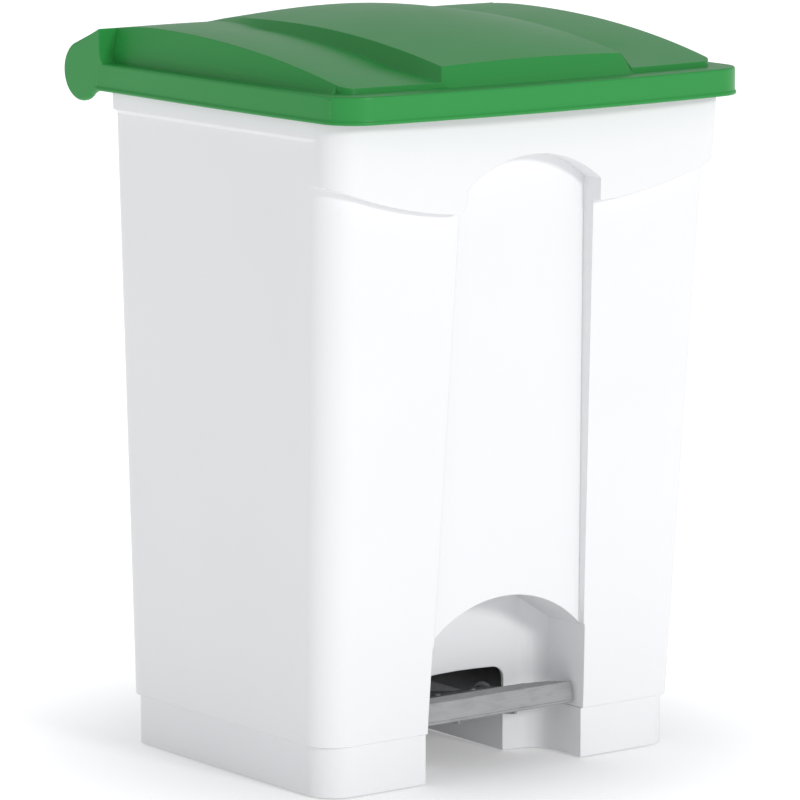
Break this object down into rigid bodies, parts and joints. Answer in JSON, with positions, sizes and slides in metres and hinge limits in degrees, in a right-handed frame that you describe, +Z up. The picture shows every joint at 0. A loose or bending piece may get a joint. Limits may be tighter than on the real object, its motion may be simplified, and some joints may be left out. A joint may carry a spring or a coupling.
{
  "type": "pedal bin",
  "caption": "Tapered plastic pedal bin with a domed roll-hinged lid, a foot pedal in a front recess and a rear push rod.",
  "frame": {"origin": "on the floor, at the middle of the bounding box seen from above", "axes": "+Z up, -Y towards the front with the pedal, +Y towards the lid's hinge roll, +X to the right of someone facing the front"},
  "size_m": [0.41, 0.3979, 0.605],
  "materials": {
    "body_plastic": "satin white polypropylene",
    "plinth_plastic": "satin white polypropylene",
    "lid_plastic": "satin green polypropylene with a fine grain",
    "pedal_steel": "satin, ribbed tread",
    "zinc_steel": "bright zinc plate",
    "black_rubber": "matte",
    "grey_plastic": "satin nylon"
  },
  "bodies": {
    "bin": {"body_shell": "body_plastic", "base_plinth": "plinth_plastic", "rear_channel_cover": "body_plastic", "cover_screw_top_left": "zinc_steel", "cover_screw_top_right": "zinc_steel", "cover_screw_low_left": "zinc_steel", "cover_screw_low_right": "zinc_steel", "hinge_rod": "zinc_steel", "hinge_clip_left": "zinc_steel", "hinge_clip_right": "zinc_steel", "pedal_axle": "zinc_steel", "axle_bush_left": "grey_plastic", "axle_bush_right": "grey_plastic", "axle_clip_left": "zinc_steel", "axle_clip_right": "zinc_steel", "lid_buffer_left": "black_rubber", "lid_buffer_right": "black_rubber", "pedal_stop_pad": "black_rubber", "foot_front_left": "black_rubber", "foot_front_right": "black_rubber", "foot_rear_left": "black_rubber", "foot_rear_right": "black_rubber", "base_screw_front_left": "zinc_steel", "base_screw_front_right": "zinc_steel", "base_screw_rear_left": "zinc_steel", "base_screw_rear_right": "zinc_steel"},
    "lid": {"lid_shell": "lid_plastic", "lug_pin": "zinc_steel", "lug_pin_clip": "zinc_steel"},
    "rod": {"push_rod": "zinc_steel", "push_rod_foot": "grey_plastic"},
    "pedal": {"pedal_lever": "pedal_steel", "pedal_tread": "pedal_steel", "tread_rivet_left": "zinc_steel", "tread_rivet_right": "zinc_steel", "lever_pad": "grey_plastic"}
  },
  "joints": [
    {"name": "lid_hinge", "type": "hinge", "parent": "bin", "child": "lid", "pos_m": [0, 0.1748, 0.5536], "axis": [-1, 0, 0], "range_deg": [0, 72]},
    {"name": "rod_swing", "type": "hinge", "parent": "lid", "child": "rod", "pos_m": [0, 0.13823, 0.52703], "axis": [1, 0, 0], "range_deg": [0, 72]},
    {"name": "pedal_pivot", "type": "hinge", "parent": "bin", "child": "pedal", "pos_m": [0, -0.0435, 0.0395], "axis": [1, 0, 0], "range_deg": [0, 16.92]}
  ],
  "couplings": [
    {"joint": "rod_swing", "follows": "lid_hinge", "ratio": 1},
    {"joint": "pedal_pivot", "follows": "lid_hinge", "ratio": 0.235}
  ]
}
